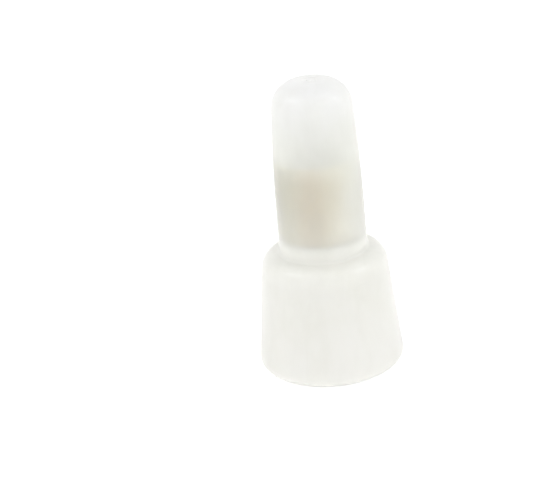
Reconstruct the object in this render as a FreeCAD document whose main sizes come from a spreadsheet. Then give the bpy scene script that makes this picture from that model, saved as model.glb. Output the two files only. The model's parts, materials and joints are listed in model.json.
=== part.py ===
# Closed-end crimp connector: a moulded nylon cap with a metal crimp sleeve
# pressed into its narrow tube.
#
# Frame, in millimetres: the origin is at the centre of the skirt's open rim,
# in the plane the rim stands on. +Z runs along the axis to the domed, closed
# end. Both pieces are turned about Z.

import FreeCAD, Part
import math
import os

import Sketcher

V = FreeCAD.Vector

doc = FreeCAD.newDocument("closed_end_crimp_connector")

# ---------------------------------------------------------------- dimensions
sheet = doc.addObject("Spreadsheet::Sheet", "dims")
sheet.Label = "dims"

DIMENSIONS = [
    # outside of the cap
    ("cap_length", 25.5, "rim to closed end"),
    ("rim_radius", 6.35, "outside of the skirt at the rim, before its edge is rounded"),
    ("shoulder_radius", 5.30, "outside of the skirt where it meets the shoulder plane"),
    ("shoulder_height", 10.45, "height of the shoulder plane"),
    ("tube_root_radius", 3.80, "outside of the narrow tube at the shoulder"),
    ("tube_bend_radius", 3.75, "outside of the tube where its draft starts to steepen"),
    ("tube_bend_height", 15.00, "height where the draft starts to steepen"),
    ("draft_round", 120.0, "blend between the two drafts of the tube"),
    ("tube_end_radius", 3.31, "outside of the tube at the closed end, before the dome"),
    # roundings of the outside
    ("rim_round", 0.60, "outer edge of the rim"),
    ("shoulder_round", 1.60, "skirt into shoulder"),
    ("crease_round", 0.30, "shoulder into tube"),
    ("dome_round", 2.32, "tube into closed end"),
    # inside of the cap, from the mouth up
    ("mouth_radius", 5.20, "skirt cavity at the rim"),
    ("skirt_top_radius", 4.45, "skirt cavity where the guide cone starts"),
    ("cone_start_height", 8.75, "start of the cone that guides the wires"),
    ("neck_radius", 2.45, "bead that keeps the sleeve in"),
    ("neck_height", 10.75, "top of the guide cone"),
    ("neck_length", 0.59, "straight part of the bead"),
    ("seat_clearance", 0.01, "radial gap between the sleeve and its seat"),
    ("ledge_clearance", 0.02, "axial gap between the sleeve and its ledge"),
    ("ledge_radius", 2.38, "end chamber just above the sleeve"),
    ("chamber_end_radius", 2.20, "end chamber at its closed end"),
    ("end_wall", 1.10, "wall of the closed end"),
    ("mouth_round", 0.20, "inner edge of the rim"),
    ("inner_shoulder_round", 0.90, "skirt cavity into the guide cone"),
    ("chamber_round", 1.30, "end chamber into the closed end"),
    # moulding gate at the centre of the closed end
    ("gate_stub_radius", 0.26, "stub left by the gate"),
    ("gate_dish_radius", 0.78, "dish around the stub"),
    ("gate_dish_depth", 0.05, "depth of the dish"),
    # crimp sleeve
    ("sleeve_base", 11.60, "height of the sleeve's wire end"),
    ("sleeve_length", 7.20, "length of the sleeve"),
    ("sleeve_outer_radius", 2.70, "outside of the sleeve"),
    ("sleeve_bore_radius", 2.20, "bore the wires go into"),
    ("sleeve_edge_break", 0.12, "outer edges of both ends and inner edge of the far end"),
    ("sleeve_lead_in", 0.30, "countersink at the wire end"),
]

for row, (alias, value, meaning) in enumerate(DIMENSIONS, start=1):
    sheet.set("A%d" % row, alias)
    sheet.set("B%d" % row, "%g" % value)
    sheet.set("C%d" % row, meaning)
    sheet.setAlias("B%d" % row, alias)
doc.recompute()


def dim(alias):
    """The present value of one of the sheet's cells."""
    return float(getattr(sheet, alias))


# ------------------------------------------------------------------- helpers
def origin_plane(body, role):
    """One of a body's own origin planes, found by its role."""
    for feature in body.Origin.OriginFeatures:
        if feature.Role == role:
            return feature
    raise RuntimeError("no origin plane " + role)


def turned_profile(body, name, points, blend=None):
    """A closed profile in the body's XZ plane. points holds (name, x, z), where x
    and z are expressions of the sheet, or plain numbers. Each corner is held by a
    horizontal and a vertical distance from the origin, both bound to the sheet.
    blend names a corner where a long arc starts, tangent to the lines before and
    after it, and the sheet's cell with its radius: the arc's other end is left to
    the two tangents."""
    sketch = body.newObject("Sketcher::SketchObject", name)
    sketch.AttachmentSupport = [(origin_plane(body, "XZ_Plane"), "")]
    sketch.MapMode = "FlatFace"
    doc.recompute()
    values = []
    for _, x, z in points:
        pair = []
        for term in (x, z):
            if isinstance(term, str):
                pair.append(eval_term(term))
            else:
                pair.append(float(term))
        values.append(V(pair[0], pair[1], 0))
    points = list(points)
    arc_at = None
    if blend is not None:
        arc_at = [label for label, _, _ in points].index(blend[0])
        radius = dim(blend[1])
        centre, first, final, end = tangent_arc(values, arc_at, radius)
        points.insert(arc_at + 1, (blend[0] + "_end", None, None))
        values.insert(arc_at + 1, end)
    count = len(points)
    for i in range(count):
        if i == arc_at:
            circle = Part.Circle(centre, V(0, 0, 1), radius)
            sketch.addGeometry(Part.ArcOfCircle(circle, first, final), False)
        else:
            sketch.addGeometry(Part.LineSegment(values[i], values[(i + 1) % count]), False)
    for i in range(count):
        joined = "Tangent" if arc_at is not None and i in (arc_at - 1, arc_at) else "Coincident"
        sketch.addConstraint(Sketcher.Constraint(joined, i, 2, (i + 1) % count, 1))
    if arc_at is not None:
        index = sketch.addConstraint(Sketcher.Constraint("Radius", arc_at, radius))
        sketch.renameConstraint(index, blend[0] + "_blend")
        sketch.setExpression("Constraints[%d]" % index, "dims." + blend[1])
    for i, (label, x, z) in enumerate(points):
        if x is None:
            continue
        for axis, term, value in (("X", x, values[i].x), ("Y", z, values[i].y)):
            if isinstance(term, str):
                index = sketch.addConstraint(
                    Sketcher.Constraint("Distance" + axis, -1, 1, i, 1, value)
                )
                sketch.renameConstraint(index, "%s_%s" % (label, "r" if axis == "X" else "z"))
                sketch.setExpression("Constraints[%d]" % index, term)
            elif axis == "X":
                sketch.addConstraint(Sketcher.Constraint("PointOnObject", i, 1, -2))
            else:
                sketch.addConstraint(Sketcher.Constraint("PointOnObject", i, 1, -1))
    doc.recompute()
    return sketch


def tangent_arc(values, at, radius):
    """An arc that starts at a corner, tangent to the line that ends there, and
    turns anticlockwise until it points at the next corner."""
    start, target = values[at], values[at + 1]
    along = (start - values[at - 1]).normalize()
    outward = V(along.y, -along.x, 0)
    centre = start - outward * radius
    first = math.atan2(outward.y, outward.x)
    turned, step = 0.0, 1e-5
    while True:
        angle = first + turned
        end = centre + V(math.cos(angle), math.sin(angle), 0) * radius
        heading = V(-math.sin(angle), math.cos(angle), 0)
        to_target = target - end
        if heading.x * to_target.y - heading.y * to_target.x <= 0:
            return centre, first, angle, end
        turned += step


def eval_term(term):
    """Adds up an expression made of sheet cells and numbers, + and - only."""
    total = 0.0
    sign = 1.0
    for word in term.split():
        if word == "+":
            sign = 1.0
        elif word == "-":
            sign = -1.0
        elif word.startswith("dims."):
            total += sign * dim(word[5:])
        else:
            total += sign * float(word)
    return total


def turn(body, kind, name, sketch):
    """A Revolution or a Groove of a profile, a full turn about the body's Z."""
    feature = body.newObject("PartDesign::" + kind, name)
    feature.Profile = sketch
    feature.ReferenceAxis = (sketch, ["V_Axis"])
    feature.Angle = 360.0
    sketch.Visibility = False
    doc.recompute()
    return feature


def ring_edges(shape, radius, height, reach):
    """Names of the circular edges about Z near a given radius and height."""
    found = []
    for number, edge in enumerate(shape.Edges, start=1):
        curve = edge.Curve
        if not isinstance(curve, Part.Circle):
            continue
        if math.hypot(curve.Center.x, curve.Center.y) > 1e-6:
            continue
        if math.hypot(curve.Radius - radius, curve.Center.z - height) < reach:
            found.append("Edge%d" % number)
    return found


def dress(body, kind, name, base, edges, key, size):
    """A Fillet or a Chamfer on named edges of the body's last feature."""
    if not edges:
        raise RuntimeError("no edge for " + name)
    feature = body.newObject("PartDesign::" + kind, name)
    feature.Base = (base, edges)
    feature.setExpression(key, "dims." + size)
    doc.recompute()
    if feature.Shape.isNull() or not feature.Shape.isValid():
        raise RuntimeError(name + " failed")
    return feature


def require_less(before, after, name):
    if not after < before - 1e-6:
        raise RuntimeError(name + " cut nothing: %.4f then %.4f" % (before, after))


# ------------------------------------------------------------ insulating cap
cap = doc.addObject("PartDesign::Body", "insulating_cap")
cap.Label = "insulating_cap"
doc.recompute()

# outside: rim, drafted skirt, shoulder, narrow tube in two drafts, closed end
outer = turned_profile(
    cap,
    "cap_outer_profile",
    [
        ("axis_bottom", 0, 0),
        ("rim", "dims.rim_radius", 0),
        ("shoulder", "dims.shoulder_radius", "dims.shoulder_height"),
        ("tube_root", "dims.tube_root_radius", "dims.shoulder_height"),
        ("tube_bend", "dims.tube_bend_radius", "dims.tube_bend_height"),
        ("tube_end", "dims.tube_end_radius", "dims.cap_length"),
        ("axis_top", 0, "dims.cap_length"),
    ],
    blend=("tube_bend", "draft_round"),
)
blank = turn(cap, "Revolution", "cap_blank", outer)

last = dress(
    cap, "Fillet", "dome_fillet", blank,
    ring_edges(blank.Shape, dim("tube_end_radius"), dim("cap_length"), 0.01),
    "Radius", "dome_round",
)
last = dress(
    cap, "Fillet", "shoulder_fillet", last,
    ring_edges(last.Shape, dim("shoulder_radius"), dim("shoulder_height"), 0.01),
    "Radius", "shoulder_round",
)
last = dress(
    cap, "Fillet", "crease_fillet", last,
    ring_edges(last.Shape, dim("tube_root_radius"), dim("shoulder_height"), 0.01),
    "Radius", "crease_round",
)
last = dress(
    cap, "Fillet", "rim_fillet", last,
    ring_edges(last.Shape, dim("rim_radius"), 0.0, 0.01),
    "Radius", "rim_round",
)

# inside: skirt cavity, guide cone, retaining bead, sleeve seat, ledge, end chamber
volume_before = last.Shape.Volume
inner = turned_profile(
    cap,
    "cap_cavity_profile",
    [
        ("axis_mouth", 0, 0),
        ("mouth", "dims.mouth_radius", 0),
        ("skirt_top", "dims.skirt_top_radius", "dims.cone_start_height"),
        ("neck_bottom", "dims.neck_radius", "dims.neck_height"),
        ("neck_top", "dims.neck_radius", "dims.neck_height + dims.neck_length"),
        (
            "seat_bottom",
            "dims.sleeve_outer_radius + dims.seat_clearance",
            "dims.sleeve_base",
        ),
        (
            "seat_top",
            "dims.sleeve_outer_radius + dims.seat_clearance",
            "dims.sleeve_base + dims.sleeve_length + dims.ledge_clearance",
        ),
        (
            "ledge",
            "dims.ledge_radius",
            "dims.sleeve_base + dims.sleeve_length + dims.ledge_clearance",
        ),
        ("chamber_end", "dims.chamber_end_radius", "dims.cap_length - dims.end_wall"),
        ("axis_chamber", 0, "dims.cap_length - dims.end_wall"),
    ],
)
cavity = turn(cap, "Groove", "cap_cavity", inner)
require_less(volume_before, cavity.Shape.Volume, "cap_cavity")

last = dress(
    cap, "Fillet", "inner_shoulder_fillet", cavity,
    ring_edges(cavity.Shape, dim("skirt_top_radius"), dim("cone_start_height"), 0.01),
    "Radius", "inner_shoulder_round",
)
last = dress(
    cap, "Fillet", "chamber_fillet", last,
    ring_edges(
        last.Shape, dim("chamber_end_radius"), dim("cap_length") - dim("end_wall"), 0.01
    ),
    "Radius", "chamber_round",
)
last = dress(
    cap, "Fillet", "mouth_fillet", last,
    ring_edges(last.Shape, dim("mouth_radius"), 0.0, 0.01),
    "Radius", "mouth_round",
)

# gate mark: a shallow dish around a stub, so that neither stands proud of the end
volume_before = last.Shape.Volume
gate = turned_profile(
    cap,
    "gate_mark_profile",
    [
        ("stub_top", "dims.gate_stub_radius", "dims.cap_length + 0.1"),
        ("stub_foot", "dims.gate_stub_radius + 0.04", "dims.cap_length - dims.gate_dish_depth"),
        ("dish_foot", "dims.gate_dish_radius - 0.16", "dims.cap_length - dims.gate_dish_depth"),
        ("dish_top", "dims.gate_dish_radius + 0.1", "dims.cap_length + 0.1"),
    ],
)
last = turn(cap, "Groove", "gate_mark", gate)
require_less(volume_before, last.Shape.Volume, "gate_mark")
cap.Tip = last
doc.recompute()

# -------------------------------------------------------------- crimp sleeve
sleeve = doc.addObject("PartDesign::Body", "crimp_sleeve")
sleeve.Label = "crimp_sleeve"
sleeve.setExpression("Placement.Base.z", "dims.sleeve_base")
doc.recompute()

# a plain drawn tube
ring = sleeve.newObject("Sketcher::SketchObject", "sleeve_section")
ring.AttachmentSupport = [(origin_plane(sleeve, "XY_Plane"), "")]
ring.MapMode = "FlatFace"
doc.recompute()
for name, alias in (("outside", "sleeve_outer_radius"), ("bore", "sleeve_bore_radius")):
    circle = ring.addGeometry(Part.Circle(V(0, 0, 0), V(0, 0, 1), dim(alias)), False)
    ring.addConstraint(Sketcher.Constraint("Coincident", circle, 3, -1, 1))
    index = ring.addConstraint(Sketcher.Constraint("Radius", circle, dim(alias)))
    ring.renameConstraint(index, name)
    ring.setExpression("Constraints[%d]" % index, "dims." + alias)
doc.recompute()

tube = sleeve.newObject("PartDesign::Pad", "sleeve_tube")
tube.Profile = ring
tube.setExpression("Length", "dims.sleeve_length")
ring.Visibility = False
doc.recompute()

# edges broken at both ends, and a deeper lead-in where the wires enter
chamfered = dress(
    sleeve, "Chamfer", "sleeve_edge_breaks", tube,
    ring_edges(tube.Shape, dim("sleeve_outer_radius"), 0.0, 0.01)
    + ring_edges(tube.Shape, dim("sleeve_outer_radius"), dim("sleeve_length"), 0.01)
    + ring_edges(tube.Shape, dim("sleeve_bore_radius"), dim("sleeve_length"), 0.01),
    "Size", "sleeve_edge_break",
)
lead_in = dress(
    sleeve, "Chamfer", "sleeve_lead_in_chamfer", chamfered,
    ring_edges(chamfered.Shape, dim("sleeve_bore_radius"), 0.0, 0.01),
    "Size", "sleeve_lead_in",
)
require_less(chamfered.Shape.Volume, lead_in.Shape.Volume, "sleeve_lead_in_chamfer")
sleeve.Tip = lead_in
doc.recompute()

# --------------------------------------------------------- checks and export
for item in doc.Objects:
    for state in item.State:
        if "Invalid" in state or "Error" in state:
            raise RuntimeError("%s is %s" % (item.Name, state))

pieces = [cap, sleeve]
for piece in pieces:
    shape = piece.Shape
    if shape.isNull() or not shape.isValid() or len(shape.Solids) != 1:
        raise RuntimeError("bad shape: " + piece.Label)

overlap = cap.Shape.common(sleeve.Shape).Volume
if overlap > 1e-6:
    raise RuntimeError("the sleeve cuts into the cap: %.6f mm3" % overlap)

os.makedirs("parts", exist_ok=True)
for piece in pieces:
    piece.Shape.exportStep(os.path.join("parts", piece.Label + ".step"))
    box = piece.Shape.BoundBox
    print(
        "%s: %.2f mm3, x %.3f..%.3f, z %.3f..%.3f"
        % (piece.Label, piece.Shape.Volume, box.XMin, box.XMax, box.ZMin, box.ZMax)
    )
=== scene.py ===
import json
import math

import bpy
from mathutils import Matrix, Vector, noise


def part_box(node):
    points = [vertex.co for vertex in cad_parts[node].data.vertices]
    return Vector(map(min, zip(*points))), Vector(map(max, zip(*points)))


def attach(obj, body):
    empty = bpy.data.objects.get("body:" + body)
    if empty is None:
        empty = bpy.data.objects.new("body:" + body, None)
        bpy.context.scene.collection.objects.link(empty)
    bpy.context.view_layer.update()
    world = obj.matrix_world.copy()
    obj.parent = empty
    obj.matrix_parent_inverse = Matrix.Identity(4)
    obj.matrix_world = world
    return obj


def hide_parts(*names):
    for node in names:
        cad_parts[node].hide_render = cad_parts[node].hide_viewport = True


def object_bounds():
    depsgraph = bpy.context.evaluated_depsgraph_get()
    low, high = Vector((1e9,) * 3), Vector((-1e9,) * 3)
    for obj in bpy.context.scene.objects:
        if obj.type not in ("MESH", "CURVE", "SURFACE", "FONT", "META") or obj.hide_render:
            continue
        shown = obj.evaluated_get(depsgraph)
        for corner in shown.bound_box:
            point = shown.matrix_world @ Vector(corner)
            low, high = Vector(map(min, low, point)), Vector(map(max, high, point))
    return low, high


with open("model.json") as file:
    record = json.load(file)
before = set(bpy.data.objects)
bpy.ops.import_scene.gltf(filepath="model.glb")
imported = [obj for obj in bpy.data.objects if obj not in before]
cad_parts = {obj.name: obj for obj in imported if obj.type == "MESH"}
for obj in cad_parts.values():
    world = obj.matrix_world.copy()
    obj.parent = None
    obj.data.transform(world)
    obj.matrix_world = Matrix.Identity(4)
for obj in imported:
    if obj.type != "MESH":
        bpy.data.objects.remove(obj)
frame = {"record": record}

cad_lo, cad_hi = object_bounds()
MM = 0.001

# ------------------------------------------------------------------ sizes
# The outside sizes come from the CAD model's own boxes. The roundings and the
# inside are the design's, in millimetres from the rim.
cap_lo, cap_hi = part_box("insulating_cap")
sleeve_lo, sleeve_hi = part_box("crimp_sleeve")
LENGTH = (cap_hi.z - cap_lo.z) / MM
SLEEVE_BASE = sleeve_lo.z / MM
SLEEVE_TOP = sleeve_hi.z / MM
SLEEVE_R = (sleeve_hi.x - sleeve_lo.x) / 2 / MM
BORE_R = frame["record"]["mounts"][0]["dims"]["r_mm"]

scene = bpy.context.scene


# ---------------------------------------------------------------- profiles
def rounded(corners):
    """A polyline through corners (r, z, radius, steps), each rounded by its radius."""
    out = []
    count = len(corners)
    for i, (r, z, radius, steps) in enumerate(corners):
        here = Vector((r, z))
        if radius <= 0 or i in (0, count - 1):
            out.append((here.x, here.y))
            continue
        before = Vector(corners[i - 1][:2])
        after = Vector(corners[i + 1][:2])
        u = (before - here).normalized()
        v = (after - here).normalized()
        half = math.acos(max(-1.0, min(1.0, u.dot(v)))) / 2
        reach = radius / math.tan(half)
        centre = here + (u + v).normalized() * (radius / math.sin(half))
        a = here + u * reach - centre
        b = here + v * reach - centre
        start = math.atan2(a.y, a.x)
        turn = math.atan2(b.y, b.x) - start
        while turn > math.pi:
            turn -= 2 * math.pi
        while turn < -math.pi:
            turn += 2 * math.pi
        for k in range(steps + 1):
            t = start + turn * k / steps
            out.append((centre.x + radius * math.cos(t), centre.y + radius * math.sin(t)))
    return out


def refine(points, longest):
    """Splits every run of a polyline that is longer than longest."""
    out = [points[0]]
    for (r0, z0), (r1, z1) in zip(points, points[1:]):
        n = max(1, math.ceil(math.hypot(r1 - r0, z1 - z0) / longest))
        for k in range(1, n + 1):
            t = k / n
            out.append((r0 + (r1 - r0) * t, z0 + (z1 - z0) * t))
    return out


def lathe(name, profile, segments, closed):
    """Turns a profile of (r, z) in millimetres about Z. A profile that isn't closed
    starts and ends on the axis."""
    verts, rings, faces = [], [], []
    for r, z in profile:
        if r < 1e-6:
            rings.append([len(verts)])
            verts.append((0.0, 0.0, z * MM))
            continue
        ring = []
        for s in range(segments):
            a = 2 * math.pi * s / segments
            ring.append(len(verts))
            verts.append((r * math.cos(a) * MM, r * math.sin(a) * MM, z * MM))
        rings.append(ring)
    pairs = list(zip(rings, rings[1:]))
    if closed:
        pairs.append((rings[-1], rings[0]))
    for a, b in pairs:
        for s in range(segments):
            n = (s + 1) % segments
            if len(a) == 1 and len(b) == 1:
                continue
            if len(a) == 1:
                faces.append((a[0], b[n], b[s]))
            elif len(b) == 1:
                faces.append((a[s], a[n], b[0]))
            else:
                faces.append((a[s], a[n], b[n], b[s]))
    mesh = bpy.data.meshes.new(name)
    mesh.from_pydata(verts, [], faces)
    mesh.validate()
    mesh.polygons.foreach_set("use_smooth", [True] * len(mesh.polygons))
    mesh.set_sharp_from_angle(angle=math.radians(28))
    obj = bpy.data.objects.new(name, mesh)
    scene.collection.objects.link(obj)
    return obj


# -------------------------------------------------------------- materials
class Nodes:
    def __init__(self, name):
        self.material = bpy.data.materials.new(name)
        self.material.use_nodes = True
        self.tree = self.material.node_tree
        self.shader = self.tree.nodes["Principled BSDF"]

    def add(self, kind, **settings):
        node = self.tree.nodes.new(kind)
        for key, value in settings.items():
            if key.startswith("_"):
                node.inputs[key[1:].replace("_", " ")].default_value = value
            else:
                setattr(node, key, value)
        return node

    def link(self, source, target):
        self.tree.links.new(source, target)

    def ramp(self, factor, stops):
        node = self.add("ShaderNodeValToRGB")
        node.color_ramp.elements[0].position = stops[0][0]
        node.color_ramp.elements[0].color = stops[0][1]
        node.color_ramp.elements[1].position = stops[-1][0]
        node.color_ramp.elements[1].color = stops[-1][1]
        for position, colour in stops[1:-1]:
            node.color_ramp.elements.new(position).color = colour
        self.link(factor, node.inputs["Fac"])
        return node.outputs["Color"]

    def maths(self, operation, a, b=None, c=None):
        node = self.add("ShaderNodeMath", operation=operation)
        for i, value in enumerate((a, b, c)):
            if value is None:
                continue
            if isinstance(value, (int, float)):
                node.inputs[i].default_value = value
            else:
                self.link(value, node.inputs[i])
        return node.outputs[0]

    def noise(self, vector, scale, detail=3.0, rough=0.5, distortion=0.0):
        node = self.add("ShaderNodeTexNoise", _Scale=scale, _Detail=detail, _Roughness=rough, _Distortion=distortion)
        self.link(vector, node.inputs["Vector"])
        return node.outputs["Fac"]

    def stretched(self, vector, scale):
        node = self.add("ShaderNodeMapping")
        node.inputs["Scale"].default_value = scale
        self.link(vector, node.inputs["Vector"])
        return node.outputs["Vector"]

    def mix(self, factor, a, b, blend="MIX"):
        node = self.add("ShaderNodeMix", data_type="RGBA", blend_type=blend)
        for socket, value in ((node.inputs["Factor"], factor), (node.inputs[6], a), (node.inputs[7], b)):
            if isinstance(value, (int, float)):
                socket.default_value = value
            elif isinstance(value, tuple):
                socket.default_value = value
            else:
                self.link(value, socket)
        return node.outputs[2]


def grey(v):
    return (v, v, v, 1.0)


def nylon():
    n = Nodes("natural_nylon_moulded")
    place = n.add("ShaderNodeTexCoord").outputs["Object"]

    # cloudy body colour, with slow flow lines along the axis
    cloud = n.noise(place, 210.0, 4.0, 0.55, 0.6)
    flow = n.noise(n.stretched(place, (1.0, 1.0, 0.28)), 620.0, 3.0, 0.6, 1.2)
    body = n.ramp(cloud, [(0.30, (0.935, 0.940, 0.885, 1)), (0.55, (0.955, 0.960, 0.915, 1)), (0.75, (0.962, 0.967, 0.930, 1))])
    veil = n.ramp(flow, [(0.35, (0.955, 0.955, 0.95, 1)), (0.62, (1.0, 1.0, 1.0, 1))])
    body = n.mix(0.55, body, veil, "MULTIPLY")
    # tint by height: the closed end, which the mould fills last, is a shade more neutral than the rest, and the band
    # up to
    # 18.5 mm, just above the sleeve, turns a shade darker and yellower; the lowest 1.4 mm of the rim is painted
    # lighter, painted light that lifts the shade where the rim meets the floor
    part = n.add("ShaderNodeSeparateXYZ")
    n.link(place, part.inputs["Vector"])
    z = part.outputs["Z"]
    up_share = n.maths("MULTIPLY", z, 1.0 / (LENGTH * MM))
    tint_and_painted_rim_light = n.ramp(up_share, [
        (0.0, (1.015, 1.005, 1.010, 1)), (1.4 / LENGTH, (0.990, 0.979, 0.985, 1)), (8.0 / LENGTH, (0.988, 0.980, 0.978, 1)), (18.5 / LENGTH, (0.968, 0.972, 0.952, 1)),
        (22.5 / LENGTH, (0.980, 0.980, 0.995, 1)), (1.0, (0.982, 0.978, 1.02, 1)),
    ])
    body = n.mix(1.0, body, tint_and_painted_rim_light, "MULTIPLY")
    # rare specks in the resin
    cells = n.add("ShaderNodeTexVoronoi", feature="F1", _Scale=850.0, _Randomness=1.0)
    n.link(place, cells.inputs["Vector"])
    speck = n.ramp(cells.outputs["Distance"], [(0.035, grey(1.0)), (0.075, grey(0.0))])
    chance = n.add("ShaderNodeSeparateColor")
    n.link(cells.outputs["Color"], chance.inputs["Color"])
    rare = n.maths("GREATER_THAN", chance.outputs["Red"], 0.93)
    body = n.mix(n.maths("MULTIPLY", n.maths("MULTIPLY", speck, rare), 0.35), body, (0.74, 0.68, 0.55, 1.0))
    n.link(body, n.shader.inputs["Base Color"])

    # satin skin of the mould, a little polished and scuffed by handling
    grain = n.noise(place, 5200.0, 3.0, 0.6)
    scuff = n.noise(n.stretched(place, (1.0, 1.0, 0.12)), 2600.0, 4.0, 0.7, 0.4)
    patch = n.noise(place, 260.0, 2.0, 0.5)
    rough = n.maths("MULTIPLY_ADD", patch, 0.08, 0.25)
    rough = n.maths("MULTIPLY_ADD", scuff, 0.07, rough)
    n.link(rough, n.shader.inputs["Roughness"])

    ripple = n.noise(place, 420.0, 2.0, 0.5)
    height = n.maths("MULTIPLY_ADD", grain, 0.18, n.maths("MULTIPLY_ADD", scuff, 0.16, ripple))
    bump = n.add("ShaderNodeBump", _Strength=0.12, _Distance=0.00012)
    n.link(height, bump.inputs["Height"])
    n.link(bump.outputs["Normal"], n.shader.inputs["Normal"])

    # how much light gets through goes with the wall: thin beside the sleeve, thicker in
    # the skirt, the shoulder and the closed end
    through = n.ramp(up_share, [
        (0.00, grey(0.26)), (1.4 / LENGTH, grey(0.40)), (8.6 / LENGTH, grey(0.42)), (9.9 / LENGTH, grey(0.32)), (11.2 / LENGTH, grey(0.34)),
        (12.0 / LENGTH, grey(0.53)), (15.5 / LENGTH, grey(0.63)), (17.5 / LENGTH, grey(0.62)), (19.2 / LENGTH, grey(0.46)), (22.5 / LENGTH, grey(0.42)), (24.5 / LENGTH, grey(0.30)), (1.00, grey(0.30)),
    ])
    n.link(through, n.shader.inputs["Transmission Weight"])

    s = n.shader.inputs
    s["IOR"].default_value = 1.53
    # the glossier skin that the mould leaves
    s["Coat Weight"].default_value = 0.06
    s["Coat Roughness"].default_value = 0.16
    s["Coat IOR"].default_value = 1.5
    return n.material


def sleeve_metal():
    n = Nodes("sleeve_drawn_metal")
    place = n.add("ShaderNodeTexCoord").outputs["Object"]
    stain = n.noise(place, 380.0, 4.0, 0.6, 0.5)
    # painted light: the colour runs from brass on the -X side to pale grey on the +X side, a painted reflection of the
    # right lamp on that side and painted shade on the other, with a cloudy edge between
    across = n.add("ShaderNodeSeparateXYZ")
    n.link(place, across.inputs["Vector"])
    painted_light_across = n.maths("MULTIPLY_ADD", across.outputs["X"], 0.5 / (SLEEVE_R * MM), 0.5)
    painted_light_across = n.maths("ADD", painted_light_across, n.maths("MULTIPLY_ADD", stain, 0.30, -0.15))
    colour = n.ramp(painted_light_across, [
        (0.10, (0.49, 0.44, 0.27, 1)), (0.30, (0.50, 0.375, 0.19, 1)), (0.46, (0.53, 0.41, 0.22, 1)),
        (0.62, (0.63, 0.55, 0.37, 1)), (0.78, (0.76, 0.71, 0.58, 1)), (0.95, (0.84, 0.83, 0.78, 1)),
    ])
    colour = n.mix(0.5, colour, n.ramp(stain, [(0.30, grey(0.84)), (0.52, grey(1.0)), (0.75, grey(1.12))]), "MULTIPLY")
    # drawing marks run along the tube
    marks = n.noise(n.stretched(place, (1.0, 1.0, 0.04)), 9000.0, 4.0, 0.7)
    colour = n.mix(0.35, colour, n.ramp(marks, [(0.3, grey(0.78)), (0.7, grey(1.0))]), "MULTIPLY")
    n.link(colour, n.shader.inputs["Base Color"])
    rough = n.maths("MULTIPLY_ADD", stain, 0.14, 0.23)
    n.link(n.maths("MULTIPLY_ADD", marks, 0.10, rough), n.shader.inputs["Roughness"])
    bump = n.add("ShaderNodeBump", _Strength=0.25, _Distance=0.00003)
    n.link(n.maths("ADD", marks, stain), bump.inputs["Height"])
    n.link(bump.outputs["Normal"], n.shader.inputs["Normal"])
    n.shader.inputs["Metallic"].default_value = 1.0
    return n.material


# ------------------------------------------------------------ insulating cap
# one closed section: up the outside, over the end, and down the inside
SHOULDER, CREASE = 1.60, 0.30
skirt_line = [
    (5.40, 0.0, 0, 1),
    (6.35, 0.0, 0.60, 14),
    (5.30, 10.45, SHOULDER, 30),
    (3.80, 10.45, 0, 1),
]
tube_line = [
    (3.80, 10.45, 0, 1),
    (3.722, 17.60, 120.0, 24),
    (3.31, LENGTH, 2.32, 36),
    (0.0, LENGTH, 0, 1),
]
gate = [
    (0.91, LENGTH), (0.76, LENGTH - 0.001), (0.71, LENGTH - 0.007), (0.66, LENGTH - 0.026), (0.62, LENGTH - 0.042),
    (0.57, LENGTH - 0.049), (0.45, LENGTH - 0.050), (0.34, LENGTH - 0.049), (0.305, LENGTH - 0.043), (0.28, LENGTH - 0.022),
    (0.26, LENGTH - 0.006), (0.22, LENGTH - 0.001), (0.12, LENGTH - 0.003), (0.0, LENGTH - 0.002),
]
END = LENGTH - 1.10
# the sleeve is a press fit: no air shows between it and its seat
SEAT_R = SLEEVE_R - 0.006
inside = [
    (0.0, END, 0, 1),
    (2.20, END, 1.30, 22),
    (2.38, SLEEVE_TOP + 0.02, 0, 1),
    (SEAT_R, SLEEVE_TOP + 0.02, 0, 1),
    (SEAT_R, SLEEVE_BASE, 0, 1),
    (2.45, 11.34, 0, 1),
    (2.45, 10.75, 0, 1),
    (4.45, 8.75, 0.90, 16),
    (5.20, 0.0, 0.20, 8),
    (5.40, 0.0, 0, 1),
]


def with_crease(skirt, tube):
    """Joins the skirt's line to the tube's with a small hollow arc that touches the
    shoulder's round on one side and the tube on the other."""
    side = (Vector(skirt_line[2][:2]) - Vector(skirt_line[1][:2])).normalized()
    out_of_side = Vector((side.y, -side.x))
    level = skirt_line[2][1] - SHOULDER
    on_side = Vector(skirt_line[1][:2]) + side * (level - skirt_line[1][1]) / side.y
    shoulder = Vector((on_side.x - SHOULDER / out_of_side.x, level))
    foot = Vector(tube_line[0][:2])
    up_tube = (Vector(tube_line[1][:2]) - foot).normalized()
    p = foot + Vector((up_tube.y, -up_tube.x)) * CREASE - shoulder
    along = -p.dot(up_tube) + math.sqrt(p.dot(up_tube) ** 2 - p.dot(p) + (SHOULDER + CREASE) ** 2)
    centre = shoulder + p + up_tube * along
    low = shoulder + (centre - shoulder) * SHOULDER / (SHOULDER + CREASE)
    high = foot + up_tube * along
    start = math.atan2(low.y - centre.y, low.x - centre.x)
    turn = math.atan2(high.y - centre.y, high.x - centre.x) - start
    turn = (turn + math.pi) % (2 * math.pi) - math.pi
    arc = [(centre.x + CREASE * math.cos(start + turn * k / 12), centre.y + CREASE * math.sin(start + turn * k / 12))
           for k in range(13)]
    return [q for q in skirt[:-1] if q[1] < 8.0 or q[0] > low.x + 0.01] + arc + [q for q in tube[1:] if q[1] > high.y + 0.01]


outer_line = with_crease(rounded(skirt_line), rounded(tube_line)[:-1])
outer_line = refine(outer_line, 0.35) + gate
inner_line = refine(rounded(inside)[:-1], 0.35)

cap_profile = outer_line + inner_line
cap = lathe("nylon_cap", cap_profile, 256, True)
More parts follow.
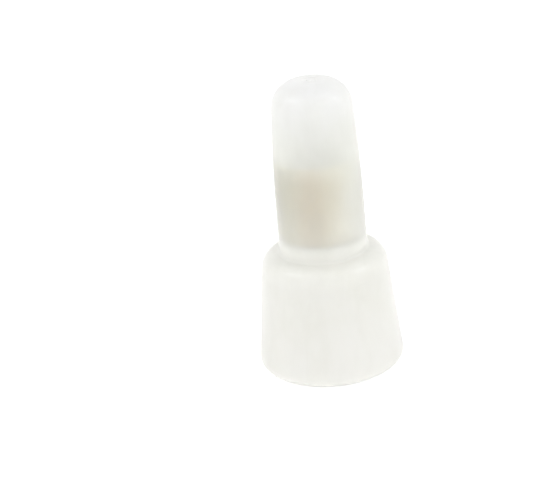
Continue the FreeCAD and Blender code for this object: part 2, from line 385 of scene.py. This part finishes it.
# mould and cooling marks: the outside dips by up to a hundredth of a millimetre
for vert in cap.data.vertices:
    x, y, z = vert.co
    r = math.hypot(x, y)
    if r < 1e-6:
        continue
    zm = z / MM
    ux, uy = x / r, y / r
    wall_mid = 5.9 - zm * 0.09 if zm < 10.0 else 3.1
    if r / MM < wall_mid or zm < 0.02 or zm > LENGTH - 0.2:
        continue
    w = noise.noise(Vector((ux * 1.3, uy * 1.3 + 4.0, zm * 0.22)))
    w += 0.45 * noise.noise(Vector((ux * 3.1 + 7.0, uy * 3.1, zm * 0.6)))
    dip = (0.002 + 0.006 * (1.0 + max(-1.0, min(1.0, w * 1.4)))) * MM
    vert.co.x -= ux * dip
    vert.co.y -= uy * dip
cap.data.materials.append(nylon())
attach(cap, "root")
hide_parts("insulating_cap")

# --------------------------------------------------------------- crimp sleeve
sleeve_section = [
    (BORE_R + 0.30, SLEEVE_BASE, 0.03, 3),
    (SLEEVE_R - 0.12, SLEEVE_BASE, 0.05, 4),
    (SLEEVE_R, SLEEVE_BASE + 0.12, 0.05, 4),
    (SLEEVE_R, SLEEVE_TOP - 0.12, 0.05, 4),
    (SLEEVE_R - 0.12, SLEEVE_TOP, 0.05, 4),
    (BORE_R + 0.12, SLEEVE_TOP, 0.05, 4),
    (BORE_R, SLEEVE_TOP - 0.12, 0.05, 4),
    (BORE_R, SLEEVE_BASE + 0.30, 0.08, 4),
    (BORE_R + 0.30, SLEEVE_BASE, 0.03, 3),
]
ring = rounded([sleeve_section[-2]] + sleeve_section[:-1] + [sleeve_section[0]])[1:-1]
sleeve = lathe("metal_sleeve", refine(ring + [ring[0]], 0.4)[:-1], 192, True)
sleeve.data.materials.append(sleeve_metal())
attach(sleeve, "root")
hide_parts("crimp_sleeve")

# --------------------------------------------------------------------- stage
floor_mesh = bpy.data.meshes.new("floor")
size = 1.5
floor_mesh.from_pydata([(-size, -size, 0), (size, -size, 0), (size, size, 0), (-size, size, 0)], [], [(0, 1, 2, 3)])
floor = bpy.data.objects.new("floor", floor_mesh)
floor.location.z = cad_lo.z - 0.00002
scene.collection.objects.link(floor)
f = Nodes("pale_floor")
tint = f.noise(f.add("ShaderNodeTexCoord").outputs["Object"], 6.0, 2.0, 0.5)
f.link(f.ramp(tint, [(0.3, (0.93, 0.93, 0.93, 1)), (0.7, (0.95, 0.95, 0.95, 1))]), f.shader.inputs["Base Color"])
f.shader.inputs["Roughness"].default_value = 0.9
f.shader.inputs["Specular IOR Level"].default_value = 0.1
# an opal light table: it gives off a little light of its own
f.shader.inputs["Emission Color"].default_value = (1.0, 1.0, 1.0, 1.0)
f.shader.inputs["Emission Strength"].default_value = 0.25
floor.data.materials.append(f.material)

world = bpy.data.worlds.new("studio")
world.use_nodes = True
world.node_tree.nodes["Background"].inputs["Color"].default_value = (1.0, 1.0, 1.0, 1.0)
world.node_tree.nodes["Background"].inputs["Strength"].default_value = 1.06
scene.world = world


def softbox(name, azimuth, elevation, distance, width, height, power, colour=(1, 1, 1)):
    """A soft light that looks at the middle of the object. Azimuth 0 is the camera's
    side, and 90 is to its right."""
    a, e = math.radians(azimuth), math.radians(elevation)
    aim = (cad_lo + cad_hi) / 2
    back = Vector((math.sin(a) * math.cos(e), -math.cos(a) * math.cos(e), math.sin(e)))
    data = bpy.data.lights.new(name, "AREA")
    data.shape = "RECTANGLE"
    data.size, data.size_y = width, height
    data.energy = power
    data.color = colour
    light = bpy.data.objects.new(name, data)
    light.location = aim + back * distance
    light.rotation_euler = back.to_track_quat("Z", "Y").to_euler()
    scene.collection.objects.link(light)
    return light


softbox("softbox_left", -82, 47, 0.30, 0.05, 0.04, 0.105)
softbox("softbox_right", 79, 35, 0.30, 0.065, 0.06, 0.115)

# -------------------------------------------------------------------- camera
camera_data = bpy.data.cameras.new("camera")
camera = bpy.data.objects.new("camera", camera_data)
scene.collection.objects.link(camera)
pitch, roll = math.radians(23.152), math.radians(-5.546)
forward = Vector((0, math.cos(pitch), -math.sin(pitch)))
right = Vector((1, 0, 0))
up = right.cross(forward)
r2 = right * math.cos(roll) + up * math.sin(roll)
u2 = -right * math.sin(roll) + up * math.cos(roll)
PX = 1756.9
distance = 0.150
middle = Vector((0, 0, (cad_lo.z + cad_hi.z) / 2))
ox, oy = (321.40 - 266.5) / PX, -(222.00 - 248.0) / PX
camera.location = middle - distance * (forward + ox * r2 + oy * u2)
camera.matrix_world = Matrix.Translation(camera.location) @ Matrix((
    (r2.x, u2.x, -forward.x, 0), (r2.y, u2.y, -forward.y, 0), (r2.z, u2.z, -forward.z, 0), (0, 0, 0, 1)))
camera_data.sensor_width = 36.0
camera_data.lens = PX * 36.0 / 533.0
camera_data.clip_start = 0.002
camera_data.clip_end = 20.0
scene.camera = camera

scene.view_settings.view_transform = "Standard"
scene.view_settings.look = "None"
